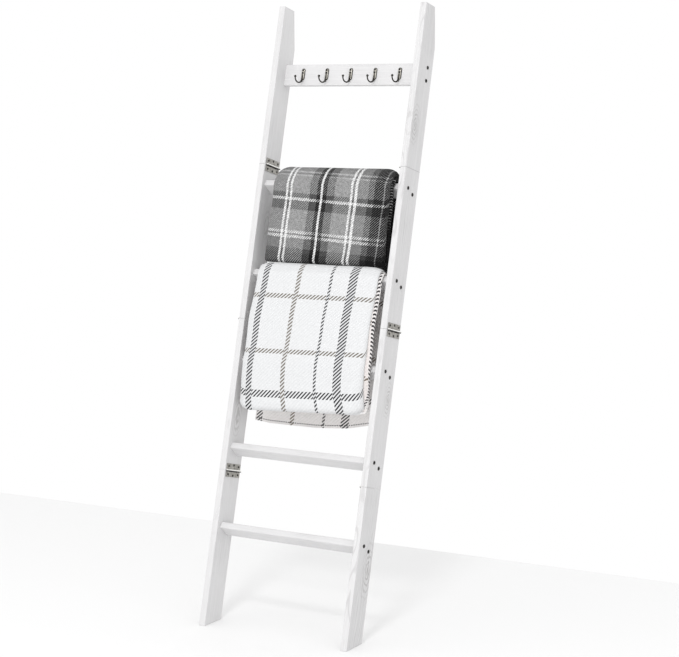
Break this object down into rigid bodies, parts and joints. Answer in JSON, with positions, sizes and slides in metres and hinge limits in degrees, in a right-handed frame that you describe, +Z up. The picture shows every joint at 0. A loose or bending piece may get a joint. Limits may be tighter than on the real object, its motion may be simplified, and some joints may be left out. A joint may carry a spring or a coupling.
{
  "type": "leaning blanket ladder with folded blankets",
  "caption": "Wooden ladder rack that leans on a wall, with tilted rungs, hinged sectional rails, a hook board and two folded check blankets hung over its rungs.",
  "frame": {"origin": "middle of the footprint on the floor: the bounding box's bottom centre, halfway between the feet's front edges and the wall", "axes": "+Z up, +X to the right seen from the front, +Y from the viewer's side towards the wall that the ladder leans on"},
  "size_m": [0.5084, 0.5046, 1.7715],
  "materials": {
    "whitewashed_wood": "whitewash over pine, faint grey grain, satin",
    "nickel_fittings": "aged nickel plate, satin",
    "steel_fixings": "bright zinc plated steel, slightly dull",
    "dark_throw": "soft brushed twill in charcoal and grey check with white lines",
    "light_throw": "soft brushed twill in cream with taupe and charcoal window-pane lines"
  },
  "bodies": {
    "ladder": {"left_rail_foot": "whitewashed_wood", "left_rail_lower": "whitewashed_wood", "left_rail_upper": "whitewashed_wood", "left_rail_top": "whitewashed_wood", "right_rail_foot": "whitewashed_wood", "right_rail_lower": "whitewashed_wood", "right_rail_upper": "whitewashed_wood", "right_rail_top": "whitewashed_wood", "rung_1": "whitewashed_wood", "rung_1_screw_left_front": "steel_fixings", "rung_1_screw_left_back": "steel_fixings", "rung_1_screw_right_front": "steel_fixings", "rung_1_screw_right_back": "steel_fixings", "rung_2": "whitewashed_wood", "rung_2_screw_left_front": "steel_fixings", "rung_2_screw_left_back": "steel_fixings", "rung_2_screw_right_front": "steel_fixings", "rung_2_screw_right_back": "steel_fixings", "rung_3": "whitewashed_wood", "rung_3_screw_left_front": "steel_fixings", "rung_3_screw_left_back": "steel_fixings", "rung_3_screw_right_front": "steel_fixings", "rung_3_screw_right_back": "steel_fixings", "rung_4": "whitewashed_wood", "rung_4_screw_left_front": "steel_fixings", "rung_4_screw_left_back": "steel_fixings", "rung_4_screw_right_front": "steel_fixings", "rung_4_screw_right_back": "steel_fixings", "rung_5": "whitewashed_wood", "rung_5_screw_left_front": "steel_fixings", "rung_5_screw_left_back": "steel_fixings", "rung_5_screw_right_front": "steel_fixings", "rung_5_screw_right_back": "steel_fixings", "hook_board": "whitewashed_wood", "hook_1": "nickel_fittings", "hook_2": "nickel_fittings", "hook_3": "nickel_fittings", "hook_4": "nickel_fittings", "hook_5": "nickel_fittings", "fold_1_left_hinge_upper_leaf": "nickel_fittings", "fold_1_left_hinge_lower_leaf": "nickel_fittings", "fold_1_left_hinge_pin": "steel_fixings", "fold_1_right_hinge_upper_leaf": "nickel_fittings", "fold_1_right_hinge_lower_leaf": "nickel_fittings", "fold_1_right_hinge_pin": "steel_fixings", "fold_2_left_hinge_upper_leaf": "nickel_fittings", "fold_2_left_hinge_lower_leaf": "nickel_fittings", "fold_2_left_hinge_pin": "steel_fixings", "fold_2_right_hinge_upper_leaf": "nickel_fittings", "fold_2_right_hinge_lower_leaf": "nickel_fittings", "fold_2_right_hinge_pin": "steel_fixings", "fold_3_left_hinge_upper_leaf": "nickel_fittings", "fold_3_left_hinge_lower_leaf": "nickel_fittings", "fold_3_left_hinge_pin": "steel_fixings", "fold_3_right_hinge_upper_leaf": "nickel_fittings", "fold_3_right_hinge_lower_leaf": "nickel_fittings", "fold_3_right_hinge_pin": "steel_fixings"},
    "dark_throw": {"dark_blanket": "dark_throw"},
    "light_throw": {"light_blanket": "light_throw"}
  },
  "joints": [
    {"name": "dark_blanket_shift", "type": "slide", "parent": "ladder", "child": "dark_throw", "axis": [1, 0, 0], "range_m": [-0.022, 0.004]},
    {"name": "light_blanket_shift", "type": "slide", "parent": "ladder", "child": "light_throw", "axis": [1, 0, 0], "range_m": [-0.008, 0.012]}
  ]
}
